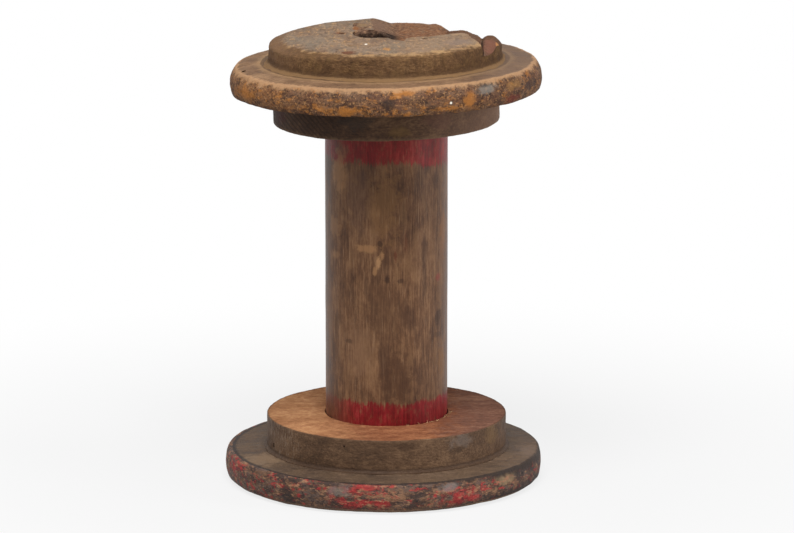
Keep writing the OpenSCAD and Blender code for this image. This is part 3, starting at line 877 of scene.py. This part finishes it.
def inside(x, y, outline):
    """Distance in from the outline's edge, less than 0 outside it."""
    nearest = np.full_like(x, 1e9)
    within = np.zeros(x.shape, bool)
    for (ax, ay), (bx, by) in zip(outline, outline[1:] + outline[:1]):
        dx, dy = bx - ax, by - ay
        t = np.clip(((x - ax) * dx + (y - ay) * dy) / (dx * dx + dy * dy), 0, 1)
        nearest = np.minimum(nearest, np.hypot(x - ax - t * dx, y - ay - t * dy))
        crosses = (ay > y) != (by > y)
        within ^= crosses & (x < dx * (y - ay) / (dy or 1e-9) + ax)
    return np.where(within, nearest, -nearest)


def ease(value, start, end):
    t = np.clip((value - start) / (end - start), 0, 1)
    return t * t * (3 - 2 * t)


def rough_noise(x, y, size, stretch=1, octaves=4):
    """Noise about 0 over a grid, longer along X by stretch."""
    return np.array([noise.fractal(Vector((a / size / stretch, b / size, 3.3)), 0.9, 2.0, octaves)
                     for a, b in zip(x, y)])


def higher(a, b, blend):
    """The higher of two surfaces, with a rounded meeting line."""
    h = np.clip(0.5 + (a - b) / (2 * blend), 0, 1)
    return b + (a - b) * h + blend * h * (1 - h)


def knob_height(x, y):
    """The knob of wood left at the +X end, with a scoop torn out of it towards -Y."""
    along = 1.5 - y
    top = -1.4 - 0.06 * along - 0.14 * (x - 49.8) ** 2
    top -= 3.0 * np.clip(46.2 - x, 0, 99) + 1.6 * np.clip(y - 1.5, 0, 99)
    scoop = 3.4 - 0.17 * along - np.sqrt(np.clip(25 - (x - 49.6) ** 2, 0, 25))
    return -higher(-top, np.where(np.abs(x - 49.6) < 5, -scoop, -99), 0.4)


def broken_height(x, y):
    """Height of the broken surface below the hub disc's top face, or above it where the disc is whole."""
    ragged = rough_noise(x, y, 3, 1.8) * 0.7
    fibres = rough_noise(x, y, 1.6, 5) * 0.35
    lumps = rough_noise(x, y, 5, 1.5) * 0.5
    start_x, start_y, slope, turn = run_out
    ahead = x - start_x - (start_y - y) * math.tan(turn) + lumps
    floor = np.interp(x, *zip(*floor_line)) + lumps * 0.7 + fibres
    floor = higher(floor, 0.5 - math.tan(slope) * higher(ahead, 0 * ahead, 3) + 0.3 * fibres, 0.5)
    floor = higher(floor, np.where(x > 44, knob_height(x, y) + 0.4 * fibres, -99), 0.25)
    depth = inside(x, y, crest + back) + ragged * 0.6
    height = np.where(depth > 0, 2 + (floor - 2) * ease(depth, 0.0, 0.55), 2)
    pit = inside(x, y, crater) + ragged
    bowl = np.interp(y, *zip(*crater_line)) + 0.28 * np.clip(-8 - x, 0, 9) + lumps * 2.2 + ragged * 0.5
    height = np.where(pit > 0, np.minimum(height, 2 + (bowl - 2) * ease(pit, 0, 0.8)), height)
    dent = inside(x, y, hollow) + ragged
    shallow = -0.75 + lumps * 0.8 + fibres
    height = np.where(dent > 0, np.minimum(height, 2 + (shallow - 2) * ease(dent, 0, 0.5)), height)
    for nail_x, nail_y in nail_places:
        hole = nail_head_r + 0.25 - np.hypot(x - nail_x, y - nail_y) + ragged * 0.3
        height = np.where(hole > 0, np.minimum(height, 1 - (nail_sink + 1) * ease(hole, 0, 0.5)), height)
    return height


def make_break_cutter():
    """A block whose lower face is the broken surface."""
    low_x, high_x, low_y, high_y = -25, 61, -42, 60
    pitch = 0.42
    clear_selection()
    bpy.ops.mesh.primitive_grid_add(x_subdivisions=round((high_x - low_x) / pitch),
                                    y_subdivisions=round((high_y - low_y) / pitch), size=1)
    block = bpy.context.object
    co = np.zeros(len(block.data.vertices) * 3)
    block.data.vertices.foreach_get("co", co)
    co = co.reshape(-1, 3)
    x = low_x + (co[:, 0] + 0.5) * (high_x - low_x)
    y = low_y + (co[:, 1] + 0.5) * (high_y - low_y)
    co[:, 0], co[:, 1], co[:, 2] = x, y, hub_top + broken_height(x, y)
    block.data.vertices.foreach_set("co", (co * MM).ravel())
    bpy.ops.object.mode_set(mode="EDIT")
    bpy.ops.mesh.select_all(action="SELECT")
    bpy.ops.mesh.extrude_region_move(TRANSFORM_OT_translate={"value": (0, 0, 20 * MM)})
    bpy.ops.mesh.select_all(action="SELECT")
    bpy.ops.mesh.normals_make_consistent(inside=False)
    bpy.ops.object.mode_set(mode="OBJECT")
    return block


def make_hub():
    foot = hub_seat - 0.8
    outline = joined([(hub_r + hub_cove, foot), *arc((hub_r + hub_cove, hub_seat - 0.3 + hub_cove), hub_cove, -90, -180),
                      (hub_r - 0.1, hub_top - 4), *arc((hub_r - 2.6, hub_top - 2.5), 2.5, 0, 72),
                      (hub_r - 9, hub_top), (bore_r, hub_top), (bore_r, hub_top - 2)],
                     [(bore_r, foot)])
    piece = turned("hub_disc_split", outline)
    weather(piece, 16, 0.8, (1.6, 1, 1))
    weather(piece, 4, 0.5, (2, 1.5, 1), 3)
    wear_down(piece, lambda x, y: 3.2 * ease(np.hypot(x, y), 44, 60) ** 1.5 * (0.25 + ease(-x, 0, 45)))
    piece.data.materials.append(hub_finish())
    cutter = make_break_cutter()
    cutter.data.materials.append(broken_finish())
    cut(piece, cutter)
    place(piece, head_frame)
    finish_piece(piece, "hub_disc")


make_barrel()
make_lower_rim()
make_lower_collar()
make_upper_collar()
make_upper_rim()
make_hub()

for name, material in (("lower_nails", rust_finish()), ("upper_nails", rust_finish()),
                       ("lower_pegs", peg_finish()), ("upper_pegs", peg_finish())):
    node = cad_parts[name]
    node.data.materials.clear()
    node.data.materials.append(material)


# Floor, camera and lights
def backdrop(mix, lit, white, share):
    """Lamplight on the object's own rays, and white where the camera, metal or glass sees the backdrop."""
    path = mix.add("ShaderNodeLightPath").outputs
    seen = mix.maths("MAXIMUM", path["Is Camera Ray"], path["Is Transmission Ray"])
    seen = mix.maths("MAXIMUM", seen, path["Is Glossy Ray"])
    return mix.add("ShaderNodeMixShader", {0: mix.both(seen, share), 1: lit, 2: white}).outputs[0]


def make_floor():
    """A matt floor that goes over into plain white away from the spool, and keeps its shadow near it."""
    clear_selection()
    bpy.ops.mesh.primitive_plane_add(size=8, location=(0, 0, -0.0002))
    floor = bpy.context.object
    floor.name = "floor"
    material = bpy.data.materials.new("pale floor")
    material.use_nodes = True
    mix = Recipe(material.node_tree)
    mix.tree.nodes.remove(mix.tree.nodes["Principled BSDF"])
    matt = mix.add("ShaderNodeBsdfDiffuse", {"Color": (0.5, 0.5, 0.5, 1)}).outputs[0]
    glow = mix.add("ShaderNodeEmission", {"Strength": 1.0}).outputs[0]
    here = mix.add("ShaderNodeTexCoord").outputs["Object"]
    away = mix.add("ShaderNodeVectorMath", {0: here}, operation="LENGTH").outputs["Value"]
    share = mix.level(mix.step(away, 0.10, 0.40), 0.80, 1.0)
    seen = backdrop(mix, matt, glow, share)
    mix.tree.links.new(seen, mix.tree.nodes["Material Output"].inputs[0])
    floor.data.materials.append(material)


def make_world():
    world = bpy.data.worlds.new("studio")
    bpy.context.scene.world = world
    world.use_nodes = True
    mix = Recipe(world.node_tree)
    mix.tree.nodes.remove(mix.tree.nodes["Background"])
    room = mix.add("ShaderNodeBackground", {"Color": (1, 1, 1, 1), "Strength": 0.2}).outputs[0]
    white = mix.add("ShaderNodeBackground", {"Color": (1, 1, 1, 1), "Strength": 1.0}).outputs[0]
    mix.tree.links.new(backdrop(mix, room, white, 1.0), mix.tree.nodes["World Output"].inputs[0])


def soft_light(name, azimuth, elevation, distance, width, height, power):
    """A softbox that faces the spool. Azimuth 0 is at the camera and 90 at +X."""
    target = Vector((0, 0, 0.11))
    a, e = math.radians(azimuth), math.radians(elevation)
    towards = Vector((math.sin(a) * math.cos(e), -math.cos(a) * math.cos(e), math.sin(e)))
    lamp = bpy.data.lights.new(name, "AREA")
    lamp.shape = "RECTANGLE"
    lamp.size, lamp.size_y, lamp.energy = width, height, power
    holder = bpy.data.objects.new(name, lamp)
    bpy.context.collection.objects.link(holder)
    holder.location = target + towards * distance
    holder.rotation_euler = (-towards).to_track_quat("-Z", "Y").to_euler()


def make_camera():
    """Long lens from 2.4 m, looking down 12.45 degrees, with the spool a little left of the middle."""
    look_at = Vector((0.005, 0, 0.1025))
    down = math.radians(12.45)
    data = bpy.data.cameras.new("camera")
    data.lens, data.sensor_width = 227.6, 36
    data.clip_start, data.clip_end = 0.1, 20
    camera = bpy.data.objects.new("camera", data)
    bpy.context.collection.objects.link(camera)
    camera.location = look_at + 2.4 * Vector((0, -math.cos(down), math.sin(down)))
    camera.rotation_euler = Euler((math.pi / 2 - down, 0, 0))
    bpy.context.scene.camera = camera


make_floor()
make_world()
soft_light("overhead softbox", -6, 60, 1.3, 0.8, 0.6, 20)
soft_light("right softbox", 74, 8, 1.2, 0.3, 0.9, 9)
soft_light("left softbox", -55, 25, 1.4, 0.6, 0.9, 4)
make_camera()
bpy.context.scene.view_settings.view_transform = "Standard"
